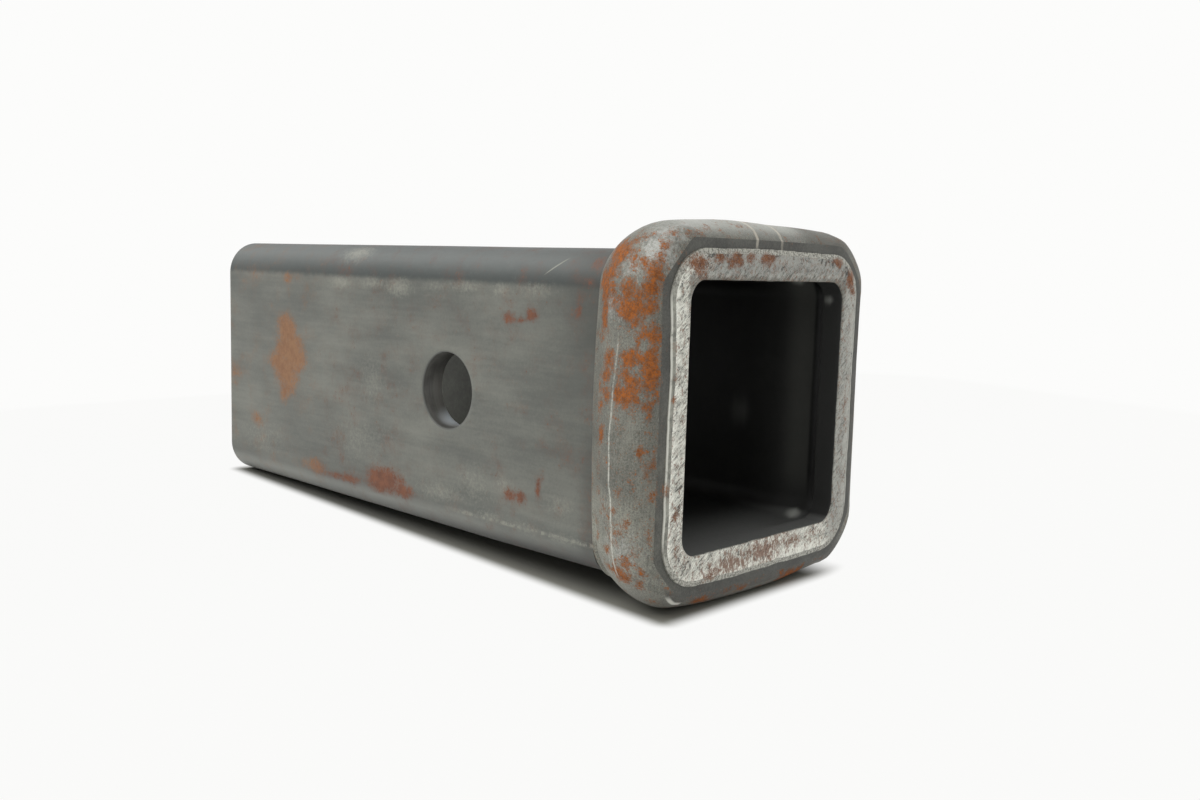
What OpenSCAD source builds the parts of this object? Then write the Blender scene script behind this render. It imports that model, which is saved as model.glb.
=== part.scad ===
// Weld-on receiver tube: square steel tube with a crowned collar formed at its mouth.
// Millimetres. The pin hole runs along X, the tube along Y with its mouth towards -Y, Z is up.
// The origin is where the pin hole's axis crosses the middle of the tube.

/* [Tube] */
// Outside width of the square tube
tube_w = 63.5; // [60:0.5:68]
// Length from the mouth face to the sawn end
tube_len = 158.75; // [120:0.25:300]
// Wall thickness
wall = 5.56; // [4.5:0.01:6.5]
// Outside corner radius of the tube
tube_corner_r = 8.2; // [7:0.1:11]
// Inside corner radius of the tube
bore_corner_r = 4.2; // [3:0.1:5]
// Edge break at the sawn end
saw_edge = 0.5; // [0.2:0.1:1]

/* [Pin hole] */
// Distance from the mouth face to the middle of the pin hole
pin_from_mouth = 63.5; // [45:0.5:90]
// Pin hole diameter
pin_d = 16.8; // [12:0.1:20]

/* [Mouth ring] */
// Width of the machined ring over its outer edge
ring_w = 64; // [63:0.1:65]
// Outer corner radius of the machined ring
ring_corner_r = 9.9; // [9:0.1:11]
// How far the ring stands in front of the collar's face
ring_step = 0.5; // [0.2:0.1:1]
// Slope of the ring's outer edge, measured across
ring_bevel = 0.6; // [0.2:0.1:1]
// Edge break at the inside of the mouth
mouth_edge = 0.3; // [0.1:0.1:0.6]

/* [Collar] */
// Width over the collar's crown, middle of a side
collar_w = 76.2; // [73:0.1:80]
// Rear edge of the collar, from the mouth face
collar_end = 16.8; // [15:0.1:20]
// Highest line of the crown, from the mouth face
crown_at = 6.5; // [5:0.1:8]
// Radius of the crown ahead of its highest line
crown_front_r = 7.4; // [7:0.1:12]
// Radius of the crown behind its highest line
crown_rear_r = 15; // [13:0.5:30]
// From the axis that a side bows about to the axis of its corner arc
bow_reach = 312.5; // [300:12.5:325]
// Width of the flat front face over its outer edge
face_w = 68; // [67:0.1:69]
// Corner radius of the flat front face
face_corner_r = 12; // [10:0.1:13]
// Radius of the nose that runs back from the face's edge into the crown
nose_r = 6; // [5.5:0.1:6.5]
// Width over the nose, which stays clear of the crown's highest line
nose_w = 77.2; // [77:0.1:79]
// Edge break at the rear of the collar, measured along the tube
rear_edge = 0.6; // [0.3:0.1:1]

/* [Inner groove] */
// Middle of the groove behind the mouth, from the mouth face
groove_at = 8.4; // [7:0.1:11]
// Depth of the groove
groove_depth = 1.5; // [0.5:0.1:2.5]
// Width of the groove along the tube
groove_w = 5.8; // [4:0.1:8]

/* [Hidden] */
$fn = 96;
// Facets of the slow arcs
bow_fn = 720;
crown_fn = 240;
half = tube_w / 2;
bore_half = half - wall;
collar_half = collar_w / 2;
// Half the angle that a side bows over. The right triangle 237, 3116, 3125 gives its sine and
// cosine as short decimals, so that sides and corners meet in the same plane without rounding.
bow_sin = 237 / 3125;
bow_cos = 3116 / 3125;
// Where a corner arc is centred, and how far beyond the middle a side's axis lies
corner_at = bow_reach * bow_sin;
bow_back = bow_reach * (bow_cos - bow_sin);
// How far the sectors of the collar reach past the corner axes
sector_past = 50;
// The crown's outline is drawn from here outwards, inside the tube wall
root = half - wall / 2;
// The rear edge break starts on the crown at this height and slopes across twice as fast as along
rear_from = collar_end - rear_edge;
rear_run = rear_from - crown_at;
rear_half = collar_half - crown_rear_r + sqrt(crown_rear_r * crown_rear_r - rear_run * rear_run);
groove_r = (groove_w * groove_w / 4 + groove_depth * groove_depth) / (2 * groove_depth);
// How far cuts run out past an open face
over = 1;
// How far edge cuts reach into the bore
lap = 0.2;
steel = [0.42, 0.42, 0.41];

// Square of half width h with corners of radius r
module round_square(h, r) {
  square([2 * h, 2 * (h - r)], center = true);
  square([2 * (h - r), 2 * h], center = true);
  for (x = [-1, 1], y = [-1, 1])
    translate([x * (h - r), y * (h - r)]) circle(r = r);
}

// Carries a profile round a square with corner centres at c.
// The profile's x is measured outwards from those centres and its y along the tube.
module round_the_square(c) {
  for (k = [0:3])
    rotate([0, 0, 90 * k]) {
      translate([c, c, 0]) rotate_extrude(angle = 90) children();
      translate([c, c, 0]) rotate([90, 0, 0]) linear_extrude(2 * c) children();
    }
}

// Solid core that fills the middle of a swept outline
module core(c, from, to) {
  translate([-c, -c, from]) cube([2 * c, 2 * c, to - from]);
}

// Crowned outline of the collar, filled from the distance given out to the crown.
// Its x is measured from the middle of the tube and its y along the tube.
// Its two arcs are level where they meet, and it runs out past both ends of the collar.
module crown_profile(from) {
  outside = collar_half + over;
  first = ring_step - over;
  last = collar_end + over;
  intersection() {
    translate([collar_half - crown_front_r, crown_at]) circle(r = crown_front_r);
    translate([root, first]) square([outside - root, crown_at - first]);
  }
  intersection() {
    translate([collar_half - crown_rear_r, crown_at]) circle(r = crown_rear_r, $fn = crown_fn);
    polygon([
      [root, crown_at], [outside, crown_at],
      [outside, rear_from - (outside - rear_half) / 2],
      [rear_half - 2 * (last - rear_from), last], [root, last]]);
  }
  translate([from, first]) square([root - from, last - first]);
}

// Prism over an outline, taller than the collar
module collar_sector(points) {
  translate([0, 0, ring_step - 2 * over])
    linear_extrude(collar_end - ring_step + 4 * over) polygon(points);
}

// One side of the collar, bowed about an axis beyond the middle of the tube
module collar_side() {
  far = bow_reach + sector_past;
  intersection() {
    translate([-bow_back, 0, 0]) rotate([0, 0, -90])
      rotate_extrude(angle = 180, $fn = bow_fn) translate([bow_back, 0]) crown_profile(0);
    collar_sector([
      [-bow_back, 0], [far * bow_cos - bow_back, -far * bow_sin],
      [far * bow_cos - bow_back, far * bow_sin]]);
  }
}

// One corner of the collar, which carries on from the sides in the same direction
module collar_corner() {
  shift = bow_reach - bow_back;
  translate([corner_at, corner_at, 0])
    intersection() {
      rotate_extrude(angle = 90) translate([-shift, 0]) crown_profile(shift);
      collar_sector(sector_past * [
        [0, 0], [bow_cos, bow_sin], [1, 1], [bow_sin, bow_cos]]);
    }
}

// Bounds the collar between its flat front face and its rear face. The front face has a
// straight-sided outline with wide corners, and a round nose runs back from it into the crown.
module collar_limit() {
  c = face_w / 2 - face_corner_r;
  top = nose_w / 2 - c;
  mid = top - nose_r;
  nose_at = ring_step + sqrt(nose_r * nose_r - (face_corner_r - mid) * (face_corner_r - mid));
  round_the_square(c) {
    intersection() {
      translate([mid, nose_at]) circle(r = nose_r);
      polygon([
        [mid, ring_step], [top + over, ring_step], [top + over, nose_at], [mid, nose_at]]);
    }
    polygon([
      [0, ring_step], [mid, ring_step], [mid, nose_at],
      [top, nose_at], [top, collar_end], [0, collar_end]]);
  }
  core(c, ring_step, collar_end);
}

module collar() {
  intersection() {
    union() {
      for (k = [0:3])
        rotate([0, 0, 90 * k]) {
          collar_side();
          collar_corner();
        }
    }
    collar_limit();
  }
}

// Machined ring standing just ahead of the collar's face
module mouth_ring() {
  c = ring_w / 2 - ring_corner_r;
  round_the_square(c)
    polygon([
      [0, 0], [ring_corner_r - ring_bevel, 0], [ring_corner_r, ring_step],
      [ring_corner_r, crown_at], [0, crown_at]]);
  core(c, 0, crown_at);
}

// Edge break round the sawn end, cut from the tube
module saw_break() {
  edge = tube_corner_r - saw_edge;
  outside = tube_corner_r + over;
  round_the_square(half - tube_corner_r)
    polygon([
      [edge, tube_len], [tube_corner_r, tube_len - saw_edge], [outside, tube_len - saw_edge],
      [outside, tube_len + over], [edge, tube_len + over]]);
}

// Edge break at the inside of the mouth
module mouth_break() {
  inside = bore_corner_r - lap;
  edge = bore_corner_r + mouth_edge;
  round_the_square(bore_half - bore_corner_r)
    polygon([
      [inside, -over], [edge, -over], [edge, 0],
      [bore_corner_r, mouth_edge], [inside, mouth_edge]]);
}

// Shallow round-bottomed groove behind the mouth
module inner_groove() {
  round_the_square(bore_half - bore_corner_r)
    intersection() {
      translate([bore_corner_r + groove_depth - groove_r, groove_at]) circle(r = groove_r);
      translate([bore_corner_r - lap, groove_at - groove_w])
        square([groove_depth + over, 2 * groove_w]);
    }
}

module receiver_tube() {
  color(steel)
  difference() {
    translate([0, -pin_from_mouth, 0]) rotate([-90, 0, 0])
    difference() {
      union() {
        translate([0, 0, crown_at / 2]) linear_extrude(tube_len - crown_at / 2)
          round_square(half, tube_corner_r);
        collar();
        mouth_ring();
      }
      translate([0, 0, -over]) linear_extrude(tube_len + 2 * over)
        round_square(bore_half, bore_corner_r);
      inner_groove();
      mouth_break();
      saw_break();
    }
    rotate([0, 90, 0]) cylinder(h = tube_w + 2 * over, d = pin_d, center = true);
  }
}

receiver_tube();
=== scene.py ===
import math

import bmesh
import bpy
import numpy
from mathutils import Matrix, Vector, noise


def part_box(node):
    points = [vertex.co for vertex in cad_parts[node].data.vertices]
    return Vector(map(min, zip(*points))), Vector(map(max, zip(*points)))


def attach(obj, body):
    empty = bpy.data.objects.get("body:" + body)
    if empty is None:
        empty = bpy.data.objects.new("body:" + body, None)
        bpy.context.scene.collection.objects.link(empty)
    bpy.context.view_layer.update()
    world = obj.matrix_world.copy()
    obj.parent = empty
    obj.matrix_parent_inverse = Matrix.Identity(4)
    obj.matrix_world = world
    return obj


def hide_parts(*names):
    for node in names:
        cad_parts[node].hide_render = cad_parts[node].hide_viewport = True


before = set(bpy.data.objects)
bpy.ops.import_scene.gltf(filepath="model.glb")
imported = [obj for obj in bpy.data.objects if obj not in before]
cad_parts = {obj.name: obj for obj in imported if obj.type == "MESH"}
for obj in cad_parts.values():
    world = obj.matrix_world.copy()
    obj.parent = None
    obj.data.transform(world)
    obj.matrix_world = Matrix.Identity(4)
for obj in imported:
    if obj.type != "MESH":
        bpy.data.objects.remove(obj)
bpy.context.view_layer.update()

mm = 0.001
low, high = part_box("receiver_tube")
mouthY = low.y  # the tube's mouth face
endY = high.y  # its sawn end
print("frame loaded")


# Sizes in mm. Along the tube, u is the distance from the mouth face. A section is a square with
# round corners: its half width, how far out its corner centres lie, and how its sides lean there.

tube = {
    "half": 31.75, "centre": 23.55, "boreHalf": 26.19, "boreCentre": 21.99,
    "sawEdge": 0.5, "sideSteps": 48, "cornerSteps": 16, "outerStep": 1.3, "innerStep": 3.0, "wave": 0.05,
    # the lower left corner tightens from the sawn end towards the collar
    "tighter": 3.4, "tightensOver": 110,
}
pinHole = {"radius": 8.4, "edge": 0.35, "boreEdge": 0.25, "steps": 12}
ring = {
    "half": 32.0, "centre": 22.1, "step": 0.5, "flatHalf": 31.0, "rimDepth": 0.28,
    "mouthEdge": 0.3, "ragged": 0.2,
    # where its outer edge runs out or in: x, z, reach and how far
    "uneven": [(-32, 12, 13, -0.95), (-32, -5, 9, -0.45), (-32, -20, 10, -0.5), (0, 32, 20, 0.38),
               (-8, -32, 14, 0.5), (14, -32, 12, 0.65)],
}
collar = {
    "crownHalf": 38.1, "crownAt": 6.5, "frontRadius": 7.4, "rearRadius": 15.0, "end": 16.8,
    "rearEdge": 0.6, "centre": 23.7, "lean": 4.35, "faceHalf": 34.0, "faceCentre": 22.0,
    "noseRadius": 6.0, "noseHalf": 32.6, "noseAt": 6.334, "wave": 0.07,
    "frontSteps": 12, "rearSteps": 12, "cornerCut": 8.2,
    # where it runs out or in, and where only its front does
    "uneven": [(35, -29, 11, 0.8), (35, 28, 7, 0.5), (38, 7, 12, -0.35), (-33.5, -33, 7, -1.0),
               (-38, 15, 10, -0.6), (-37.5, -22, 10, -0.75), (7, 38, 12, -0.4)],
    "unevenFront": [(-14, -37, 12, 0.5), (8, -37, 14, 0.6)],
}
groove = {"at": 8.4, "depth": 1.5, "width": 5.8, "tail": 7.0, "steps": 14}

perSide = tube["sideSteps"] + tube["cornerSteps"]
sideStep = 2 * tube["centre"] / tube["sideSteps"]
length = (endY - mouthY) / mm

# how much each corner of the collar's front is cut straight, from top right round to bottom right
cornerCuts = (0.4, 0.95, 0.7, 0.4)


# Point k of a section, counted anticlockwise from the lower end of its right side.
def sectionPoint(k, half, centre, lean=0.0, cut=0.0):
    side, step = divmod(k, perSide)
    tilt = math.radians(lean)
    r = half - centre * (1 + math.tan(tilt / 2))
    if step <= tube["sideSteps"]:
        t = 2 * step / tube["sideSteps"] - 1
        if lean:
            back = centre / math.tan(tilt) - centre
            x = (half + back) * math.cos(tilt * t) - back
            z = (half + back) * math.sin(tilt * t)
        else:
            x, z = half, centre * t
    else:
        s = (step - tube["sideSteps"]) / tube["cornerSteps"]
        a = tilt + (math.radians(90) - 2 * tilt) * s
        x, z = centre + r * math.cos(a), centre + r * math.sin(a)
        if cut:
            # the same corner as two short flats and a straight cut between them
            flat, chord = half - centre - collar["cornerCut"], collar["cornerCut"] * math.sqrt(2)
            d = s * (2 * flat + chord)
            run = min(max(d - flat, 0), chord) / math.sqrt(2)
            cx = half - run - max(d - flat - chord, 0)
            cz = centre + min(d, flat) + run
            share = cut * cornerCuts[side]
            x, z = x + (cx - x) * share, z + (cz - z) * share
    turn = math.radians(90) * side
    return x * math.cos(turn) - z * math.sin(turn), x * math.sin(turn) + z * math.cos(turn)


# Half width of the collar's outline at u, in the middle of a side.
def collarHalf(u):
    c = collar
    if u > c["crownAt"]:
        return c["crownHalf"] - c["rearRadius"] + math.sqrt(c["rearRadius"] ** 2 - (u - c["crownAt"]) ** 2)
    crown = c["crownHalf"] - c["frontRadius"] + math.sqrt(c["frontRadius"] ** 2 - (c["crownAt"] - u) ** 2)
    nose = c["noseHalf"] + math.sqrt(c["noseRadius"] ** 2 - (c["noseAt"] - u) ** 2) if u < c["noseAt"] else 99
    return min(crown, nose)


def collarSections():
    c = collar
    rows = []
    start = math.asin((c["crownAt"] - ring["step"]) / c["frontRadius"])
    for i in range(c["frontSteps"] + 1):
        u = c["crownAt"] - c["frontRadius"] * math.sin(start * (1 - i / c["frontSteps"]))
        share = min(1, (u - ring["step"]) / 0.9)
        rows.append((u, collarHalf(u), c["faceCentre"] + (c["centre"] - c["faceCentre"]) * share,
                     c["lean"] * share, max(0, 1 - (u - ring["step"]) / 3.2)))
    for i in range(1, c["rearSteps"] + 1):
        u = c["crownAt"] + (c["end"] - c["rearEdge"] - c["crownAt"]) * i / c["rearSteps"]
        rows.append((u, collarHalf(u), c["centre"], c["lean"], 0))
    half = rows[-1][1]
    rows.append((c["end"] - 0.2, half - 0.35, c["centre"], c["lean"], 0))
    rows.append((c["end"], half - 1.2, c["centre"], c["lean"], 0))
    return rows


# Places along a plain stretch of tube, with short even steps across the pin hole.
def plainPlaces(first, last, stationStep):
    reach = pinHole["steps"] * sideStep
    pinAt = -mouthY / mm
    rows = [pinAt - reach + i * sideStep for i in range(2 * pinHole["steps"] + 1)]
    for a, b in ((first, rows[0]), (rows[-1], last)):
        n = max(2, round((b - a) / stationStep))
        rows += [a + (b - a) * i / n for i in range(n + 1)]
    return sorted({round(v, 5) for v in rows})


# Every section in turn, from inside the sawn end, out round the mouth and back over the outside.
# Each row holds u, half width, corner centre, lean, corner cut and the finish of the faces behind it.
def tubeSections():
    bh, bc = tube["boreHalf"], tube["boreCentre"]
    edge = tube["sawEdge"]
    rows = [(length, bh + 0.4, bc, 0, 0, "sawn"), (length - 0.4, bh, bc, 0, 0, "sawn")]
    grooveEnd = groove["at"] + groove["width"] / 2 + groove["tail"]
    for u in reversed(plainPlaces(grooveEnd + 0.5, length - 1.2, tube["innerStep"])):
        rows.append((u, bh, bc, 0, 0, "bore"))
    for i in range(groove["steps"] + 1):
        t = 1 - 2 * i / groove["steps"]
        reach = groove["width"] / 2 + (groove["tail"] if t > 0 else 0)
        deep = groove["depth"] * 0.8 * ((1 - t) ** 2 * (1 + 2 * t) if t > 0 else 1 - t * t)
        rows.append((groove["at"] - 0.6 + t * reach, bh + deep, bc, 0, 0, "bore"))
    for u in (4.4, 3.2, 2.0, 1.0):
        rows.append((u, bh, bc, 0, 0, "bore"))
    m = ring["mouthEdge"]
    rows.append((m, bh, bc, 0, 0, "bore"))
    rows.append((m * 0.25, bh + m * 0.3, bc, 0, 0, "ring"))
    rows.append((0, bh + m, bc, 0, 0, "ring"))
    for i in range(1, 8):
        t = i / 7
        rows.append((0, bh + m + (ring["flatHalf"] - bh - m) * t, bc + (ring["centre"] - bc) * t, 0, 0, "ring"))
    rows.append((ring["rimDepth"], ring["half"] - 0.22, ring["centre"], 0, 0, "rim"))
    rows.append((ring["rimDepth"] + 0.06, ring["half"], ring["centre"], 0, 0, "rim"))
    rows.append((ring["step"], ring["half"] + 0.04, ring["centre"], 0, 0, "rim"))
    face = collar["faceHalf"]
    rows.append((ring["step"] + 0.04, ring["half"] + 0.5 * (face - ring["half"]), ring["centre"], 0, 0.3, "band"))
    for i, (u, half, centre, lean, cut) in enumerate(collarSections()):
        rows.append((u, half, centre, lean, cut, "band" if i == 0 else "collar"))
    rows.append((collar["end"] + 0.1, tube["half"] + 0.35, tube["centre"], 0, 0, "collar"))
    rows.append((collar["end"] + 0.5, tube["half"], tube["centre"], 0, 0, "tube"))
    for u in plainPlaces(collar["end"] + 1.4, length - 1.2, tube["outerStep"]):
        rows.append((u, tube["half"], tube["centre"], 0, 0, "tube"))
    rows.append((length - edge, tube["half"], tube["centre"], 0, 0, "tube"))
    rows.append((length - edge * 0.25, tube["half"] - edge * 0.35, tube["centre"], 0, 0, "sawn"))
    rows.append((length, tube["half"] - edge, tube["centre"], 0, 0, "sawn"))
    rows.append((length, (tube["half"] + bh) / 2, (tube["centre"] + bc) / 2, 0, 0, "sawn"))
    return rows


finishes = ("tube", "collar", "band", "ring", "rim", "bore", "sawn", "pin")


def unevenBy(x, z, places):
    return sum(far * math.exp(-((x - px) ** 2 + (z - pz) ** 2) / reach ** 2) for px, pz, reach, far in places)


def ripple(p, size, seed):
    return noise.noise(Vector((p.x / size + seed, p.y / size, p.z / size)))


# Extrudes a circle from section to section, then joins the last one to the first.
def loftTube():
    bm = bmesh.new()
    made = bmesh.ops.create_circle(bm, segments=4 * perSide, radius=1)
    loop = sorted(made["verts"], key=lambda v: math.atan2(v.co.y, v.co.x) % (2 * math.pi))
    inLoop = set(loop)
    for i, (u, half, centre, lean, cut, finish) in enumerate(tubeSections()):
        if i:
            edges = {e for v in loop for e in v.link_edges if e.other_vert(v) in inLoop}
            grown = bmesh.ops.extrude_edge_only(bm, edges=list(edges))["geom"]
            above = {}
            for item in grown:
                if isinstance(item, bmesh.types.BMVert):
                    for e in item.link_edges:
                        if e.other_vert(item) in inLoop:
                            above[e.other_vert(item)] = item
                elif isinstance(item, bmesh.types.BMFace):
                    item.material_index = finishes.index(finish)
            loop = [above[v] for v in loop]
            inLoop = set(loop)
        for k, v in enumerate(loop):
            x, z = sectionPoint(k, half, centre, lean, cut)
            v.co = (x * mm, mouthY + u * mm, z * mm)
            outward = Vector((x, 0, z)).normalized() * mm
            if finish == "collar":
                v.co += outward * collar["wave"] * (ripple(v.co, 0.011, 3) + 0.6 * ripple(v.co, 0.004, 8) - 0.6)
                if u < collar["end"] - 0.7:
                    front = min(max((7 - u) / 4, 0), 1)
                    v.co += outward * (unevenBy(x, z, collar["uneven"]) + front * unevenBy(x, z, collar["unevenFront"]))
            elif finish == "bore" and half > tube["boreHalf"] and z < -20:
                # the groove all but runs out along the lower wall
                share = min(max((x - 4) / 17, 0), 1)
                v.co.z += (half - tube["boreHalf"]) * 0.92 * (1 - share * share * (3 - 2 * share)) * mm
            elif finish == "tube":
                v.co += outward * tube["wave"] * (ripple(v.co, 0.025, 5) - 0.5)
                dx, dz = -x - tube["centre"], -z - tube["centre"]
                if dx > 0 and dz > 0:
                    r = math.hypot(dx, dz)
                    fuller = tube["tighter"] * ((dx + dz) / r - 1) * min(1, (length - u) / tube["tightensOver"])
                    v.co += Vector((-dx, 0, -dz)) / r * fuller * mm
            elif finish in ("ring", "rim", "band"):
                reach = min(max((half - 27) / 4, 0), 1) * (0.4 if half > 32.5 else 1)
                v.co += outward * reach * unevenBy(x, z, ring["uneven"])
                if finish == "rim" and u < 0.4:
                    # the sloping rim is there only down the sides
                    level = 0.85 * (1 - min(max((29 - abs(z)) / 8, 0), 1))
                    v.co.y -= (u - 0.03) * level * mm
                if half > 30.9 and half < 33.5:
                    v.co += outward * ring["ragged"] * (ripple(v.co, 0.006, 1) + 0.7 * ripple(v.co, 0.0018, 4))
            elif finish == "bore" and u < 0.4:
                v.co += outward * 0.5 * ring["ragged"] * (ripple(v.co, 0.003, 6) + 0.5 * ripple(v.co, 0.0012, 2))
    joined = bmesh.ops.bridge_loops(bm, edges=[e for e in bm.edges if e.is_boundary])
    for face in joined["faces"]:
        face.material_index = finishes.index("sawn")
    return bm


# Opens both side walls for the pin. A square patch makes way for rings of faces round the hole.
def cutPinHoles(bm):
    p = pinHole
    reach = p["steps"] * sideStep * mm
    patch = []
    for f in bm.faces:
        middle = f.calc_center_median()
        if (abs(middle.y) < reach * 0.999 and abs(f.normal.x) > 0.98
                and abs(middle.z) < reach * 0.999 and abs(middle.x) > 25 * mm):
            inner = abs(middle.x) < 28.5 * mm
            if not inner or abs(middle.z) < reach * tube["boreCentre"] / tube["centre"] * 0.999:
                patch.append(f)
    bmesh.ops.delete(bm, geom=patch, context="FACES")
    for side in (-1, 1):
        walls = []
        for x, edge, inward in ((tube["half"], p["edge"], -1), (tube["boreHalf"], p["boreEdge"], 1)):
            rim = [e for e in bm.edges if e.is_boundary
                   and all(abs(v.co.x - side * x * mm) < 0.3 * mm for v in e.verts)]
            for growth, depth in ((1.2, 0), (edge, 0), (edge * 0.3, edge * 0.35), (0, edge)):
                place = (Matrix.Translation((side * (x + inward * depth) * mm, 0, 0))
                         @ Matrix.Rotation(math.radians(90), 4, "Y"))
                made = bmesh.ops.create_circle(bm, segments=8 * p["steps"],
                                               radius=(p["radius"] + growth) * mm, matrix=place)
                circle = list({e for v in made["verts"] for e in v.link_edges})
                faces = bmesh.ops.bridge_loops(bm, edges=rim + circle)["faces"]
                finish = "pin" if growth < 1 and depth else ("tube" if inward < 0 else "bore")
                for face in faces:
                    face.material_index = finishes.index(finish)
                rim = circle
            walls += rim
        for face in bmesh.ops.bridge_loops(bm, edges=walls)["faces"]:
            face.material_index = finishes.index("pin")


def meshPiece(bm, name):
    bmesh.ops.recalc_face_normals(bm, faces=bm.faces)
    for f in bm.faces:
        f.smooth = True
    for e in bm.edges:
        middle = (e.verts[0].co + e.verts[1].co) / 2 / mm
        # low on the left the front face rounds over into the collar
        soft = -37 < middle.x < -32.6 and -30 < middle.z < 8 and middle.y < -62.5
        e.smooth = soft or not (e.is_manifold and e.calc_face_angle(0) > math.radians(34))
    mesh = bpy.data.meshes.new(name)
    bm.to_mesh(mesh)
    bm.free()
    piece = bpy.data.objects.new(name, mesh)
    bpy.context.scene.collection.objects.link(piece)
    return piece


bm = loftTube()
cutPinHoles(bm)
steelTube = meshPiece(bm, "steelTube")
print("tube lofted,", len(steelTube.data.polygons), "faces")


# Small helpers for the node trees. A value is a number, a colour or another node's output.

def tone(r, g, b):
    return tuple((v / 255 / 12.92 if v <= 10 else ((v / 255 + 0.055) / 1.055) ** 2.4) for v in (r, g, b)) + (1.0,)


def put(tree, socket, value):
    if isinstance(value, bpy.types.NodeSocket):
        tree.links.new(value, socket)
    else:
        socket.default_value = value


def calc(tree, operation, a, b=0.0, c=0.0, clamp=False):
    node = tree.nodes.new("ShaderNodeMath")
    node.operation = operation
    node.use_clamp = clamp
    for socket, value in zip(node.inputs, (a, b, c)):
        put(tree, socket, value)
    return node.outputs[0]


# Runs a value smoothly from 0 at one level to 1 at another, or between two other ends.
def fade(tree, value, start, end, first=0.0, last=1.0):
    node = tree.nodes.new("ShaderNodeMapRange")
    node.interpolation_type = "SMOOTHSTEP"
    for name, number in (("From Min", start), ("From Max", end), ("To Min", first), ("To Max", last)):
        node.inputs[name].default_value = number
    put(tree, node.inputs["Value"], value)
    return node.outputs["Result"]


def blend(tree, factor, a, b, mode="MIX"):
    node = tree.nodes.new("ShaderNodeMix")
    node.data_type = "RGBA"
    node.blend_type = mode
    put(tree, node.inputs[0], factor)
    put(tree, node.inputs[6], a)
    put(tree, node.inputs[7], b)
    return node.outputs[2]


def grain(tree, vector, size, detail=4.0, rough=0.55, stretch=None, turn=(0, 0, 0), warp=0.0):
    if stretch or any(turn):
        place = tree.nodes.new("ShaderNodeMapping")
        place.vector_type = "TEXTURE"
        place.inputs["Rotation"].default_value = [math.radians(v) for v in turn]
        place.inputs["Scale"].default_value = stretch or (1, 1, 1)
        tree.links.new(vector, place.inputs["Vector"])
        vector = place.outputs["Vector"]
    node = tree.nodes.new("ShaderNodeTexNoise")
    node.inputs["Scale"].default_value = 1 / (size * mm)
    node.inputs["Detail"].default_value = detail
    node.inputs["Roughness"].default_value = rough
    node.inputs["Distortion"].default_value = warp
    tree.links.new(vector, node.inputs["Vector"])
    return node.outputs["Fac"]


# Marks painted on the mesh. Each row: centre x, y, z and radii in mm, strength, turn about X.
def paintMarks(piece, name, rows):
    points = numpy.empty(len(piece.data.vertices) * 3, dtype=numpy.float32)
    piece.data.vertices.foreach_get("co", points)
    points = points.reshape(-1, 3) / mm
    marks = numpy.zeros(len(points), dtype=numpy.float32)
    for x, y, z, rx, ry, rz, strength, *turn in rows:
        away = points - numpy.array((x, y, z), dtype=numpy.float32)
        if turn:
            a = math.radians(turn[0])
            away = away @ numpy.array(((1, 0, 0), (0, math.cos(a), -math.sin(a)), (0, math.sin(a), math.cos(a))))
        far = numpy.linalg.norm(away / (rx, ry, rz), axis=1)
        marks = numpy.maximum(marks, strength * (1 - far))
    painted = piece.data.attributes.new(name, "FLOAT", "POINT")
    painted.data.foreach_set("value", marks.astype(numpy.float32))


def painted(tree, name):
    node = tree.nodes.new("ShaderNodeAttribute")
    node.attribute_name = name
    return node.outputs["Fac"]


# A material's tree with its shader, its object coordinates and their three parts.
def startFinish(name, **sockets):
    material = bpy.data.materials.new(name)
    material.use_nodes = True
    tree = material.node_tree
    shader = tree.nodes["Principled BSDF"]
    for key, value in sockets.items():
        shader.inputs[key].default_value = value
    where = tree.nodes.new("ShaderNodeTexCoord").outputs["Object"]
    split = tree.nodes.new("ShaderNodeSeparateXYZ")
    tree.links.new(where, split.inputs[0])
    return material, tree, shader, where, split.outputs


def bump(tree, shader, height, distance, strength=1.0):
    node = tree.nodes.new("ShaderNodeBump")
    node.inputs["Distance"].default_value = distance * mm
    node.inputs["Strength"].default_value = strength
    tree.links.new(height, node.inputs["Height"])
    tree.links.new(node.outputs["Normal"], shader.inputs["Normal"])


rustTones = {"orange": tone(146, 96, 62), "brown": tone(104, 70, 52)}


# Rust over a finish: a thin film where its mark is weak, with grains that close up where it is strong.
def addRust(tree, where, colour, size=0.5, level=0.42, film=0.45, speckle=1.0, tones=None, field=None):
    tones = tones or rustTones
    field = field or painted(tree, "rust")
    fine = calc(tree, "SUBTRACT", grain(tree, where, size, 4, 0.8), 0.5)
    coarse = calc(tree, "SUBTRACT", grain(tree, where, size * 7, 4, 0.6), 0.5)
    mixed = calc(tree, "MULTIPLY_ADD", coarse, speckle * 1.9, field)
    thin = calc(tree, "MULTIPLY", fade(tree, mixed, level - 0.32, level + 0.3), film)
    mixed = calc(tree, "MULTIPLY_ADD", fine, speckle * 3.4, mixed)
    grains = fade(tree, mixed, level - 0.08, level + 0.42, 0.0, 0.95)
    shade = grain(tree, where, size * 2.2, 4, 0.75)
    rust = blend(tree, fade(tree, shade, 0.36, 0.62), tones["brown"], tones["orange"])
    film = blend(tree, thin, colour, tones["brown"])
    return calc(tree, "MAXIMUM", thin, grains), blend(tree, grains, film, rust)


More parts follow.
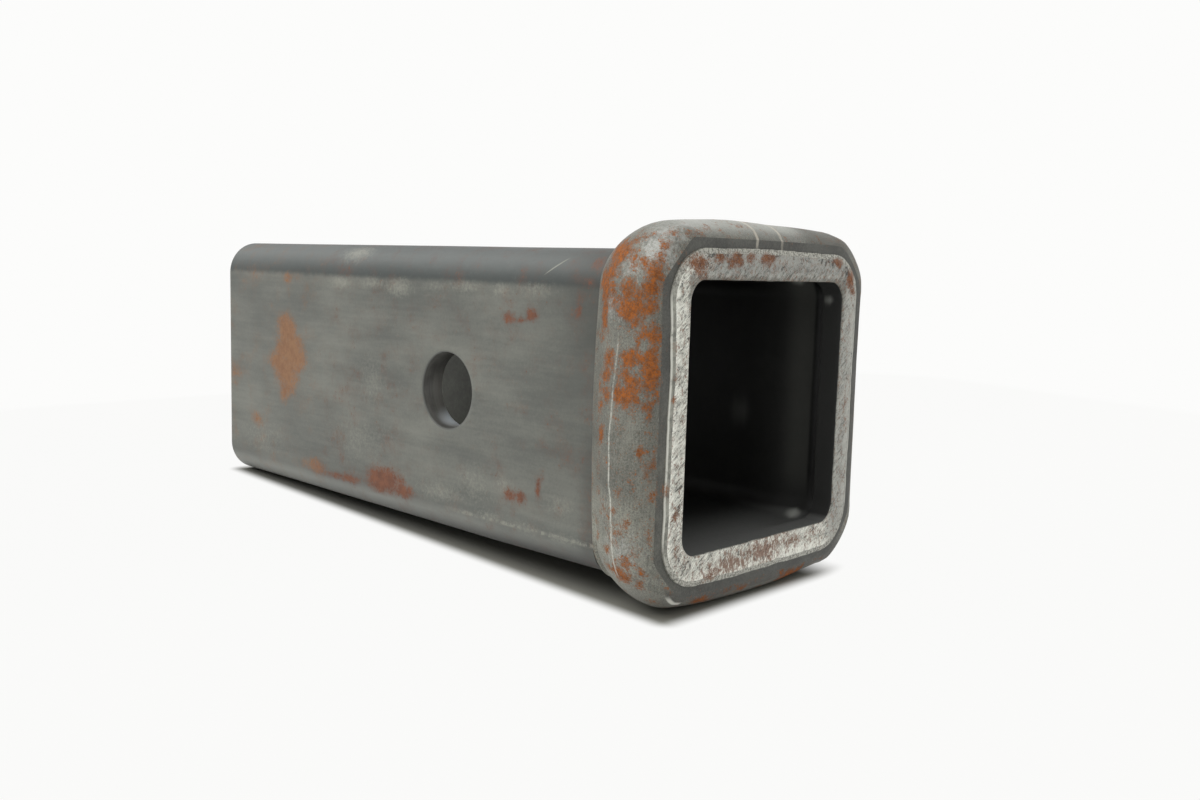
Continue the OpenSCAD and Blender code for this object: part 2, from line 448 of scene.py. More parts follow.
# A fine mark of its own: 1 inside a thin ellipsoid, 0 outside.
def fineMark(tree, vector, x, y, z, rx, ry, rz, turn):
    place = tree.nodes.new("ShaderNodeMapping")
    place.vector_type = "TEXTURE"
    place.inputs["Location"].default_value = (x * mm, y * mm, z * mm)
    place.inputs["Rotation"].default_value = [math.radians(v) for v in turn]
    place.inputs["Scale"].default_value = (rx * mm, ry * mm, rz * mm)
    tree.links.new(vector, place.inputs["Vector"])
    far = tree.nodes.new("ShaderNodeVectorMath")
    far.operation = "LENGTH"
    tree.links.new(place.outputs["Vector"], far.inputs[0])
    return fade(tree, far.outputs["Value"], 1.0, 0.5)


tubeFinish = {
    "scale": (tone(90, 92, 87), tone(120, 121, 113)), "corner": (tone(62, 67, 65), tone(95, 99, 97)),
    "dust": tone(150, 150, 138), "rust": {"orange": tone(122, 78, 56), "brown": tone(104, 68, 52)},
    "farRust": {"orange": tone(144, 108, 78), "brown": tone(132, 96, 70)},
    "marks": [
        (-31.75, 65.6, 9.5, 3, 6.6, 6.6, 1.0), (-31.75, 64.0, 4.6, 3, 9.4, 6.0, 1.1),
        (-31.75, 60.8, 2.4, 3, 6.6, 5.0, 1.0), (-31.75, 70.0, 1.0, 3, 8.0, 3.2, 0.9),
        (-31.75, 66.0, -1.6, 3, 7.6, 7.6, 1.1), (-31.75, 67.0, -6.4, 3, 4.4, 4.6, 0.8),
        (-31.75, 65.5, 22.8, 2, 2.4, 2.0, 0.6), (-31.75, 92.5, -3.6, 2, 4, 5, 0.6),
        (-31.75, 81, -15.6, 2, 3.6, 2.8, 0.6), (-31.4, 52.7, -24.4, 3, 8.0, 2.6, 0.75),
        (-31.4, 40.5, -25.4, 3, 14, 1.4, 0.7), (-31.4, 23.2, -23.6, 3, 10.0, 4.6, 1.3),
        (-31.2, 15.5, -24.9, 3, 7, 2.2, 1.0), (-31.75, -19.6, 17.0, 2, 2.6, 1.7, 0.9),
        (-31.75, -26.9, 17.9, 2, 2.4, 2.0, 0.95), (-31.75, -23.4, 16.9, 2, 3.6, 0.9, 0.7),
        (-31.75, -21.2, -20.0, 2, 2.3, 1.9, 0.8), (-31.75, -24.6, -19.8, 2, 2.0, 1.6, 0.85),
        (-31.75, -30.2, -16.2, 2, 1.2, 4.4, 0.95, 12), (-31.75, -40.6, 22.2, 2, 1.2, 2.2, 0.7),
        (-31.75, -39.9, 19.2, 2, 1.3, 1.3, 0.7), (-30.4, -43.8, 28.4, 3, 3.4, 3.2, 0.5),
        (-31.6, -43, 25.4, 2, 3.4, 1.8, 0.4),
        (31.75, 41, 8, 3, 6, 8, 0.9), (31.75, -12, -20, 3, 9, 2.5, 0.9), (31.75, 78, -15, 3, 6, 4, 0.8),
        (31.75, 12, 19, 3, 5, 2, 0.7), (-6, 55, 31.75, 7, 5, 3, 0.85), (12, -8, 31.75, 5, 8, 3, 0.75),
        (-14, 20, 31.75, 3, 3, 3, 0.7), (5, 30, -31.75, 9, 14, 3, 0.95), (-12, -25, -31.75, 6, 5, 3, 0.85),
    ],
    "dusty": [
        (-31.75, 41, 22.4, 3, 8, 2.2, 0.9), (-31.75, 28, 22.6, 3, 9, 2.2, 0.8), (-31.75, 18, 22.0, 3, 8, 3.2, 1.0),
        (-31.75, 4, 22.8, 3, 8, 1.8, 0.6), (-31.75, -6, 23.0, 3, 8, 2.0, 0.8), (-31.75, -17.4, 22.6, 3, 5, 2.0, 0.9),
        (-31.75, -27, 23.0, 3, 9, 2.2, 0.75), (-29.0, 37.5, 29.6, 4, 9, 4.4, 1.0),
        (-31.75, 27.5, 0, 3, 8, 10, 0.5), (-31.75, 33, -15, 3, 20, 8, 0.5), (-31.75, 78, -20, 3, 16, 8, 0.5),
        (-31.75, -10, -19.4, 3, 9, 6, 0.6), (-31.7, 2, -22.8, 3, 12, 3.4, 0.7), (-31.75, -19.4, -17.8, 2, 4, 3, 0.8),
        (-31.2, -15.5, -25.6, 3, 8, 2.0, 0.9), (-31.1, -27, -26.0, 3, 9, 2.0, 0.9),
        (-31.0, -38, -26.2, 3, 9, 2.0, 0.9), (-31.75, -36, -20, 3, 7, 4, 0.6),
        (31.75, 20, 22, 3, 20, 2, 0.8), (31.75, -20, -23, 3, 16, 2, 0.8), (20, 40, 31.75, 3, 25, 3, 0.6),
    ],
}


def tubeMaterial():
    f = tubeFinish
    material, tree, shader, where, (x, y, z) = startFinish("millScaledTube", Metallic=0.2)
    clouds = grain(tree, where, 11, 5, 0.6, stretch=(1, 3, 1))
    streaks = grain(tree, where, 1.0, 3, 0.6, stretch=(1, 18, 1))
    fine = grain(tree, where, 0.55, 5, 0.72)
    shade = calc(tree, "MULTIPLY_ADD", streaks, 0.2, calc(tree, "MULTIPLY", clouds, 0.9))
    shade = calc(tree, "MULTIPLY_ADD", fine, 0.3, shade)
    flat = blend(tree, fade(tree, shade, 0.5, 0.95), *f["scale"])
    # the bent corners keep a bluer scale, with painted shade where they leave the sides; the lower corners keep mostly
    # the flat tones, painted lighter
    bend = calc(tree, "MINIMUM", calc(tree, "ABSOLUTE", x), calc(tree, "ABSOLUTE", z))
    bend = calc(tree, "MULTIPLY_ADD", calc(tree, "SUBTRACT", grain(tree, where, 2.6, 5, 0.7), 0.5), 0.0012, bend)
    round = calc(tree, "MULTIPLY_ADD", shade, 0.5, fade(tree, bend, 23.5 * mm, 31 * mm, 0.0, 0.75))
    corner = blend(tree, fade(tree, round, 0.3, 1.1), *f["corner"])
    cornerScaleAndShade = fade(tree, bend, 23.2 * mm, 24.8 * mm)
    colour = blend(tree, calc(tree, "MULTIPLY", cornerScaleAndShade, fade(tree, z, -20 * mm, 10 * mm, 0.2, 1.0)), flat, corner)
    # painted light pales the lower corner, less of it towards the collar
    pale = calc(tree, "MULTIPLY", fade(tree, z, -25 * mm, -28 * mm), fade(tree, y, -46 * mm, 30 * mm, 0.1, 0.34))
    colour = blend(tree, pale, colour, tone(160, 162, 155))
    # painted shade along the underside, deepest towards the collar
    undersideShade = calc(tree, "MULTIPLY", fade(tree, z, -27.2 * mm, -30.9 * mm), fade(tree, y, 60 * mm, -36 * mm, 0.45, 0.85))
    colour = blend(tree, undersideShade, colour, tone(34, 34, 31))
    # painted shade on the side towards the collar and in a strip beside its rear edge
    collarShadeBelow = calc(tree, "MULTIPLY", fade(tree, y, -16 * mm, -47 * mm, 0.0, 0.3), fade(tree, z, -26 * mm, -10 * mm))
    high = calc(tree, "MULTIPLY", fade(tree, y, -30 * mm, -44 * mm, 0.0, 0.62), fade(tree, z, -4 * mm, 16 * mm))
    colour = blend(tree, calc(tree, "MAXIMUM", collarShadeBelow, high), colour, tone(58, 59, 55))
    collarEdgeShade = calc(tree, "MULTIPLY", fade(tree, y, -40.5 * mm, -45 * mm, 0.0, 0.42), fade(tree, z, 2 * mm, -12 * mm))
    colour = blend(tree, collarEdgeShade, colour, tone(58, 59, 55))
    # dust in the grain, thickest along both edges of the side
    dustNoise = calc(tree, "SUBTRACT", grain(tree, where, 0.8, 6, 0.8), 0.5)
    dust = calc(tree, "MULTIPLY_ADD", dustNoise, 2.0, painted(tree, "dust"))
    dust = calc(tree, "MULTIPLY", fade(tree, dust, 0.1, 1.2), 0.7)
    edge = calc(tree, "ABSOLUTE", calc(tree, "ADD", z, 26.1 * mm))
    edge = calc(tree, "MULTIPLY", fade(tree, edge, 0.7 * mm, 0.15 * mm), fade(tree, y, 4 * mm, -12 * mm, 0.0, 0.6))
    broken = fade(tree, grain(tree, where, 1.3, 5, 0.7), 0.4, 0.6)
    dust = calc(tree, "MAXIMUM", dust, calc(tree, "MULTIPLY", edge, broken))
    scratch = fineMark(tree, where, -30.2, -32.3, 27.9, 2.5, 4.3, 0.22, (-35, 0, 0))
    dust = calc(tree, "MAXIMUM", dust, calc(tree, "MULTIPLY", scratch, 0.6))
    colour = blend(tree, dust, colour, f["dust"])
    # rust low down and near the collar is the darker
    far = fade(tree, y, 44 * mm, 56 * mm)
    rust = {key: blend(tree, far, f["rust"][key], f["farRust"][key]) for key in ("orange", "brown")}
    rusty, colour = addRust(tree, where, colour, 0.7, 0.26, 0.5, 0.55, rust)
    tree.links.new(colour, shader.inputs["Base Color"])
    rough = calc(tree, "MULTIPLY_ADD", fine, 0.16, 0.4)
    tree.links.new(calc(tree, "MULTIPLY_ADD", rusty, 0.3, rough), shader.inputs["Roughness"])
    bump(tree, shader, calc(tree, "MULTIPLY_ADD", rusty, 0.6, fine), 0.05, 0.4)
    return material


collarFinish = {
    # front is the tone of the painted shade on the collar
    "sand": (tone(90, 91, 84), tone(158, 158, 146)), "front": tone(62, 61, 56), "bare": tone(172, 173, 168),
    "rust": {"orange": tone(168, 98, 44), "brown": tone(120, 76, 46)},
    "marks": [
        (-34.0, -53.4, 30.6, 5, 6.6, 6.4, 0.95), (-35.8, -51.0, 25.4, 4, 5.4, 8.0, 1.15),
        (-35.8, -50.4, 19.4, 4, 3.6, 6.4, 0.85), (-35.4, -57.2, 29.4, 4, 4.6, 3.4, 0.75),
        (-36.9, -57.4, 22.4, 4, 7.6, 6.6, 0.85), (-36.9, -58.6, 20.6, 3.6, 4.8, 5.4, 1.2),
        (-35.6, -61.4, 23.6, 3, 3.0, 8.0, 1.0), (-34.9, -62.0, 27.2, 3, 2.4, 4.0, 0.95),
        (-35.2, -62.2, 15.8, 2.6, 2.6, 6.4, 0.95), (-37.0, -60.2, 14.6, 2.6, 3.0, 4.0, 0.55),
        (-37.6, -58.6, 11.9, 3, 5.6, 2.9, 1.15), (-35.2, -62.2, 9.2, 2.6, 2.4, 9.4, 1.15),
        (-37.7, -58.6, 4.9, 3, 6.4, 3.4, 1.05), (-37.4, -59.2, 8.4, 3, 6.0, 4.4, 0.75),
        (-37.3, -53.0, 10.2, 2.4, 2.2, 6.0, 0.85), (-37.3, -53.4, 5.2, 2.4, 2.4, 3.4, 0.8),
        (-37.1, -51.6, -2.2, 2, 1.9, 2.4, 1.0), (-36.9, -51.2, 1.4, 2, 1.6, 2.6, 0.75),
        (-36.6, -50.6, 5.0, 2, 1.4, 2.6, 0.7), (-36.4, -61.6, -4.9, 2, 1.8, 2.0, 0.85),
        (-35.5, -62.4, -8.0, 2, 1.6, 2.4, 0.9), (-36.6, -50.7, -9.9, 2, 1.4, 2.2, 0.85),
        (-35.2, -62.6, -10.9, 2, 1.2, 1.6, 0.8), (-34.5, -62.9, -13.4, 2, 1.2, 3.4, 0.7),
        (-36.0, -59.4, -23.4, 4, 6.4, 8.6, 0.24), (-36.8, -60.0, -21.3, 2, 1.5, 1.4, 0.75),
        (-34.5, -62.6, -20.6, 2, 1.3, 1.7, 0.75), (-36.0, -61.2, -22.9, 2, 1.3, 1.3, 0.65),
        (-35.6, -55.3, -29.6, 4, 5.8, 3.6, 1.2), (-35.3, -58.8, -29.6, 3.6, 3.8, 3.4, 0.75),
        (-36.7, -53.2, -24.8, 2, 1.8, 2.0, 0.8), (-36.6, -58.5, -25.6, 2, 1.8, 2.0, 0.8),
        (-35.1, -61.3, -27.7, 2, 1.8, 1.8, 0.75), (-17.6, -61.6, -36.0, 5.0, 2.3, 2.2, 1.0),
        (-6.0, -62.2, -35.6, 9.0, 1.6, 1.6, 0.65), (13.0, -61.8, -36.2, 6.6, 2.4, 2.6, 1.35),
        (-29.2, -61.4, 34.6, 2.8, 2.0, 1.6, 0.75), (-26.2, -62.4, 34.4, 2.4, 1.5, 1.2, 0.85),
        (-31.2, -61.8, 32.0, 3.4, 2.2, 3.4, 0.42),
        (38, -55, 10, 3, 5, 9, 0.9), (37, -54, -22, 3, 5, 5, 0.9), (30, -56, 33, 5, 4, 4, 0.8),
        (-4, -52, -38, 12, 4, 3, 0.95), (22, -57, -37, 5, 4, 3, 0.8), (6, -51, 37, 6, 3, 3, 0.6),
    ],
    "wearAndHighlight": [
        (-32.4, -60.6, 30.8, 5, 5.0, 6.0, 1.0), (-29.4, -59.6, 34.0, 5, 5.6, 4.0, 0.9),
        (-35.8, -57.5, 28.0, 3, 5.5, 4.0, 0.55), (-36.9, -52.8, 20.8, 3, 2.4, 4.4, 0.6),
        (-37.2, -55.8, 20.6, 3, 2.4, 4.6, 0.5), (-36.2, -57, -24, 4, 8, 7, 0.5), (-37.6, -51.4, -20, 2.4, 3.4, 9, 0.75),
        (-20, -59.0, 36.8, 9, 5, 2.6, 0.7), (-2, -58, 38, 12, 5, 2.6, 0.6), (-24.6, -60.4, 36.0, 4, 3, 2.4, 0.8),
        (-33.6, -58.4, 27.0, 4, 4, 4, 0.6), (-28.5, -62.2, 34.2, 3.6, 2.2, 2.6, 0.75),
        (-32.6, -62.6, 29.8, 2.6, 2.0, 3.0, 0.5), (33, -57, -31, 4, 4, 4, 0.7),
        # the rows from here on are painted highlights and painted light inside the bore and on the pin hole's wall
        (25.5, -54.2, -26.4, 3.0, 2.4, 2.0, 1.0), (24.8, -52.6, 26.2, 2.6, 2.4, 2.0, 0.55),
        (26.4, -59.9, 22.3, 2.0, 1.8, 1.8, 0.6), (26.2, -37.4, -4.5, 2, 5, 7, 0.27),
        (-27.2, 4.2, -7.4, 2.8, 6.2, 4.6, 1.15),
    ],
}


# A worn line that follows the crown down the left side, and two that cross the top of the collar.
def wornLines(tree, where, x, y, z):
    wobble = calc(tree, "SUBTRACT", grain(tree, where, 9, 3, 0.6), 0.5)
    lowEnd = fade(tree, z, -4 * mm, 16 * mm, 0.0, 0.7 * mm)
    line = calc(tree, "ADD", y, 54.75 * mm)
    line = calc(tree, "ADD", line, lowEnd)
    line = calc(tree, "ABSOLUTE", calc(tree, "MULTIPLY_ADD", wobble, 0.0012, line))
    line = fade(tree, line, 0.32 * mm, 0.08 * mm)
    broken = fade(tree, grain(tree, where, 0.9, 5, 0.8), 0.38, 0.56, 0.15, 1.0)
    broken = calc(tree, "MULTIPLY", broken, fade(tree, z, 12 * mm, -8 * mm, 0.5, 1.0))
    reach = calc(tree, "MULTIPLY", fade(tree, z, -31 * mm, -28 * mm), fade(tree, z, 17.5 * mm, 14 * mm))
    left = calc(tree, "LESS_THAN", x, -30 * mm)
    line = calc(tree, "MULTIPLY", calc(tree, "MULTIPLY", line, broken), calc(tree, "MULTIPLY", reach, left))
    over = None
    for place, width in ((-5.9, 0.62), (2.6, 0.55)):
        bend = calc(tree, "MULTIPLY_ADD", wobble, 0.0012, calc(tree, "SUBTRACT", x, place * mm))
        stroke = fade(tree, calc(tree, "ABSOLUTE", bend), width * mm, width * 0.35 * mm)
        over = stroke if over is None else calc(tree, "MAXIMUM", over, stroke)
    top = calc(tree, "MULTIPLY", fade(tree, z, 31 * mm, 33.5 * mm), fade(tree, y, -51 * mm, -57 * mm))
    patchy = fade(tree, grain(tree, where, 1.1, 5, 0.6), 0.3, 0.55, 0.45, 1.0)
    over = calc(tree, "MULTIPLY", calc(tree, "MULTIPLY", over, top), patchy)
    return line, over


def collarMaterial():
    f = collarFinish
    material, tree, shader, where, (x, y, z) = startFinish("forgedCollar", Metallic=0.25)
    clouds = grain(tree, where, 9, 4, 0.6)
    fine = grain(tree, where, 0.34, 4, 0.85)
    brushed = grain(tree, where, 0.4, 3, 0.7, stretch=(1, 1, 10))
    shade = calc(tree, "MULTIPLY_ADD", clouds, 0.5, calc(tree, "MULTIPLY", fine, 1.0))
    shade = calc(tree, "MULTIPLY_ADD", brushed, 0.3, shade)
    colour = blend(tree, fade(tree, shade, 0.68, 1.12), *f["sand"])
    # painted shade: darker over the front, the lower part and the underside
    front = fade(tree, y, -57.5 * mm, -62.5 * mm, 0.0, 0.45)
    front = calc(tree, "MULTIPLY", front, fade(tree, z, -30 * mm, -10 * mm, 0.45, 1.0))
    front = calc(tree, "MAXIMUM", front, fade(tree, z, -22 * mm, -10 * mm, 0.0, 0.4))
    colour = blend(tree, front, colour, f["front"])
    low = fade(tree, z, -29 * mm, -36 * mm, 0.0, 0.5)
    # below, the face seems to reach a little further out
    foot = calc(tree, "MULTIPLY", fade(tree, y, -62.0 * mm, -62.5 * mm), fade(tree, z, -30 * mm, -33 * mm, 0.0, 0.8))
    colour = blend(tree, calc(tree, "MAXIMUM", low, foot), colour, f["front"])
    # painted sheen along the top of the crown, and painted shade on the top to the right
    top = fade(tree, calc(tree, "ABSOLUTE", calc(tree, "ADD", x, 8 * mm)), 24 * mm, 15 * mm, 0.0, 0.4)
    colour = blend(tree, calc(tree, "MULTIPLY", top, fade(tree, z, 33.5 * mm, 37 * mm)), colour, tone(206, 208, 202))
    shaded = calc(tree, "MULTIPLY", fade(tree, x, 8 * mm, 15 * mm, 0.0, 0.4), fade(tree, z, 30 * mm, 34 * mm))
    colour = blend(tree, shaded, colour, f["front"])
    bareNoise = calc(tree, "SUBTRACT", grain(tree, where, 0.7, 6, 0.8), 0.5)
    bare = calc(tree, "MULTIPLY_ADD", bareNoise, 2.2, painted(tree, "wearAndHighlight"))
    bare = fade(tree, bare, 0.1, 0.9)
    colour = blend(tree, calc(tree, "MULTIPLY", bare, 0.85), colour, f["bare"])
    rusty, colour = addRust(tree, where, colour, 0.36, 0.47, 0.65, 1.3, f["rust"])
    line, over = wornLines(tree, where, x, y, z)
    colour = blend(tree, calc(tree, "MULTIPLY", line, 0.85), colour, tone(196, 196, 186))
    # painted highlight along the ridge where the face meets the collar low on the left
    ridgeHighlight = fade(tree, calc(tree, "ABSOLUTE", calc(tree, "ADD", y, 62.3 * mm)), 0.3 * mm, 0.1 * mm)
    ridgeHighlight = calc(tree, "MULTIPLY", ridgeHighlight, calc(tree, "MULTIPLY", fade(tree, z, -32.8 * mm, -34.2 * mm),
                                               fade(tree, x, -23.4 * mm, -25.6 * mm)))
    colour = blend(tree, calc(tree, "MULTIPLY", ridgeHighlight, 0.9), colour, tone(204, 203, 194))
    colour = blend(tree, calc(tree, "MULTIPLY", over, 0.8), colour, tone(196, 190, 176))
    tree.links.new(colour, shader.inputs["Base Color"])
    rough = calc(tree, "MULTIPLY_ADD", rusty, 0.25, calc(tree, "MULTIPLY_ADD", fine, 0.2, 0.4))
    tree.links.new(rough, shader.inputs["Roughness"])
    tree.links.new(calc(tree, "MULTIPLY_ADD", rusty, -0.4, 0.5), shader.inputs["Specular IOR Level"])
    bump(tree, shader, calc(tree, "MULTIPLY_ADD", rusty, 0.4, fine), 0.11, 0.7)
    return material


def bandMaterial():
    material, tree, shader, where, (x, y, z) = startFinish("formedFace", Metallic=0.2)
    fine = grain(tree, where, 0.4, 4, 0.75)
    clouds = grain(tree, where, 6, 3, 0.5)
    shade = calc(tree, "MULTIPLY_ADD", clouds, 0.5, calc(tree, "MULTIPLY", fine, 0.7))
    dark = blend(tree, fade(tree, shade, 0.45, 0.8), tone(64, 64, 60), tone(92, 92, 86))
    light = blend(tree, fade(tree, shade, 0.45, 0.8), tone(72, 72, 67), tone(106, 106, 98))
    # low down on the left the face runs into the collar without an edge
    left = calc(tree, "MULTIPLY", fade(tree, z, 14 * mm, -6 * mm), fade(tree, x, -24 * mm, -31 * mm))
    colour = blend(tree, calc(tree, "MULTIPLY", left, 0.9), dark, light)
    rusty, colour = addRust(tree, where, colour, 0.34, 0.62, 0.4, 1.0, collarFinish["rust"])
    line, over = wornLines(tree, where, x, y, z)
    colour = blend(tree, calc(tree, "MULTIPLY", over, 0.6), colour, tone(190, 184, 170))
    tree.links.new(colour, shader.inputs["Base Color"])
    tree.links.new(calc(tree, "MULTIPLY_ADD", fine, 0.2, 0.4), shader.inputs["Roughness"])
    bump(tree, shader, fine, 0.08, 0.6)
    return material


ringFinish = {
    "bright": tone(240, 240, 230), "mid": tone(198, 198, 188), "pit": tone(54, 54, 50),
    "dimReflection": tone(120, 122, 118), "brown": tone(124, 88, 66),
    "marks": [
        (-24.6, -63.5, 29.2, 5.8, 2, 3.4, 1.1), (-18.3, -63.5, 30.3, 2.0, 2, 1.8, 1.0),
        (-13.2, -63.5, 30.2, 4.0, 2, 2.8, 1.1), (-8.2, -63.5, 30.5, 2.4, 2, 1.9, 1.1),
        (-2.9, -63.5, 30.6, 3.6, 2, 2.1, 1.2), (23.0, -63.5, 30.4, 3.6, 2, 1.7, 1.15),
        (28.8, -63.5, 27.2, 2.6, 2, 3.6, 1.15), (29.8, -63.5, 24.6, 1.8, 2, 2.4, 0.9), (-30.2, -63.5, 8.0, 1.2, 2, 1.2, 0.9),
        (-30.0, -63.5, 4.4, 1.2, 2, 1.2, 0.9), (-28.7, -63.5, -17.5, 1.3, 2, 1.2, 1.0),
        (-30.9, -63.5, -12.5, 1.2, 2, 3.2, 0.8), (-30.4, -63.5, 14.0, 1.2, 2, 2.4, 0.7),
        (-17.4, -63.5, -30.9, 4.6, 2, 2.0, 0.85), (-28.2, -63.5, -24.5, 1.6, 2, 2.0, 0.7),
        (29.4, -63.5, -2, 1.4, 2, 6, 0.5),
    ],
    "smudged": [
        (-21.0, -63.5, 31.3, 3.0, 2, 1.5, 1.0), (-16.4, -63.5, 30.6, 1.6, 2, 1.4, 0.8),
        (-12.6, -63.5, 31.3, 3.0, 2, 0.9, 0.8), (0.6, -63.5, 31.3, 4.0, 2, 0.8, 0.6),
        (2.6, -63.5, 28.8, 2.6, 2, 1.6, 0.45), (19.6, -63.5, 30.4, 5.0, 2, 1.3, 0.8),
        (27.2, -63.5, 28.6, 2.2, 2, 3.0, 0.8), (11.0, -63.5, 30.4, 4.0, 2, 1.4, 0.35),
    ],
    "stain": [
        (-9.5, -63.5, -29.6, 10, 3, 3.6, 1.35), (1.0, -63.5, -28.8, 10, 3, 4.2, 1.5),
        (9.5, -63.5, -28.2, 6, 3, 3.0, 1.0), (19, -63.5, -28.5, 6, 3, 3, 0.6),
        (-18, -63.5, -29.6, 6, 3, 2.4, 0.7),
    ],
}


def ringMaterial():
    f = ringFinish
    material, tree, shader, where, (x, y, z) = startFinish("groundRing", Metallic=0.6)
    strokes = grain(tree, where, 0.24, 4, 0.75, stretch=(5, 1, 1), turn=(0, -38, 0))
    broad = grain(tree, where, 0.8, 4, 0.75, stretch=(3.0, 1, 1), turn=(0, -38, 0))
    fine = grain(tree, where, 0.26, 4, 0.9)
    clouds = grain(tree, where, 5, 3, 0.6)
    marks = calc(tree, "MULTIPLY_ADD", strokes, 1.2, calc(tree, "MULTIPLY", broad, 0.9))
    marks = calc(tree, "MULTIPLY_ADD", fine, 0.7, marks)
    marks = calc(tree, "MULTIPLY_ADD", clouds, 0.3, marks)
    # the outermost millimetre and a half is the brightest
    outer = calc(tree, "MAXIMUM", calc(tree, "ABSOLUTE", x), calc(tree, "ABSOLUTE", z))
    marks = calc(tree, "ADD", marks, fade(tree, outer, 28.8 * mm, 30.4 * mm, 0.0, 0.16))
    colour = blend(tree, fade(tree, marks, 1.46, 1.8), f["mid"], f["bright"])
    pitted = fade(tree, marks, 1.49, 1.33)
    colour = blend(tree, calc(tree, "MULTIPLY", pitted, 0.9), colour, f["pit"])
    # painted shade: the face reflects duller along the top on the left and down the right side
    dimReflection = calc(tree, "MULTIPLY", fade(tree, z, 24 * mm, 28.5 * mm), fade(tree, x, -29 * mm, -17 * mm))
    dimReflection = calc(tree, "MAXIMUM", dimReflection, calc(tree, "MULTIPLY", fade(tree, x, 22 * mm, 27 * mm), 0.8))
    colour = blend(tree, calc(tree, "MULTIPLY", dimReflection, 0.74), colour, f["dimReflection"])
    # dirt holds along the inner edge at the top
    grime = calc(tree, "MULTIPLY_ADD", calc(tree, "SUBTRACT", broad, 0.5), 0.003, outer)
    soot = calc(tree, "MULTIPLY", fade(tree, grime, 27.6 * mm, 26.5 * mm), fade(tree, z, 14 * mm, 26 * mm))
    colour = blend(tree, calc(tree, "MULTIPLY", soot, 0.7), colour, tone(84, 82, 74))
    specks = grain(tree, where, 0.8, 4, 0.85, stretch=(1, 1, 1.6))
    brown = calc(tree, "MULTIPLY_ADD", calc(tree, "SUBTRACT", specks, 0.5), 7.0, painted(tree, "stain"))
    brown = fade(tree, brown, 0.1, 1.25)
    colour = blend(tree, calc(tree, "MULTIPLY", brown, 0.88), colour, f["brown"])
    # dark smudges along the outer edge at the top
    smudge = calc(tree, "SUBTRACT", grain(tree, where, 1.1, 5, 0.8), 0.5)
    smudge = calc(tree, "MULTIPLY_ADD", smudge, 4.0, painted(tree, "dust"))
    colour = blend(tree, fade(tree, smudge, 0.2, 0.75, 0.0, 0.92), colour, f["pit"])
    rusty, colour = addRust(tree, where, colour, 0.3, 0.47, 0.5, 1.15)
    tree.links.new(colour, shader.inputs["Base Color"])
    rough = calc(tree, "MULTIPLY_ADD", pitted, 0.2, calc(tree, "MULTIPLY_ADD", rusty, 0.3, 0.36))
    tree.links.new(rough, shader.inputs["Roughness"])
    bump(tree, shader, calc(tree, "SUBTRACT", marks, calc(tree, "MULTIPLY", rusty, 0.2)), 0.14, 0.8)
    return material


def rimMaterial():
    material, tree, shader, where, (x, y, z) = startFinish("ringRim", Metallic=0.5)
    broad = grain(tree, where, 1.4, 5, 0.7)
    depth = calc(tree, "SUBTRACT", y, mouthY)
    edge = fade(tree, depth, 0.2 * mm, 0.27 * mm)
    slope = blend(tree, fade(tree, broad, 0.35, 0.65), tone(112, 112, 105), tone(156, 156, 146))
    slope = blend(tree, calc(tree, "MULTIPLY", edge, fade(tree, broad, 0.2, 0.5)), slope, tone(206, 206, 196))
    # along the top and bottom it is ground with the ring
    ground = grain(tree, where, 0.5, 4, 0.8)
    ground = blend(tree, fade(tree, ground, 0.42, 0.56), tone(112, 111, 104), tone(182, 181, 171))
    colour = blend(tree, fade(tree, calc(tree, "ABSOLUTE", z), 22 * mm, 27 * mm), slope, ground)
    rusty, colour = addRust(tree, where, colour, 0.34, 0.5, 0.4, 0.8)
    tree.links.new(colour, shader.inputs["Base Color"])
    tree.links.new(calc(tree, "MULTIPLY_ADD", broad, 0.2, 0.32), shader.inputs["Roughness"])
    bump(tree, shader, broad, 0.08, 0.6)
    return material


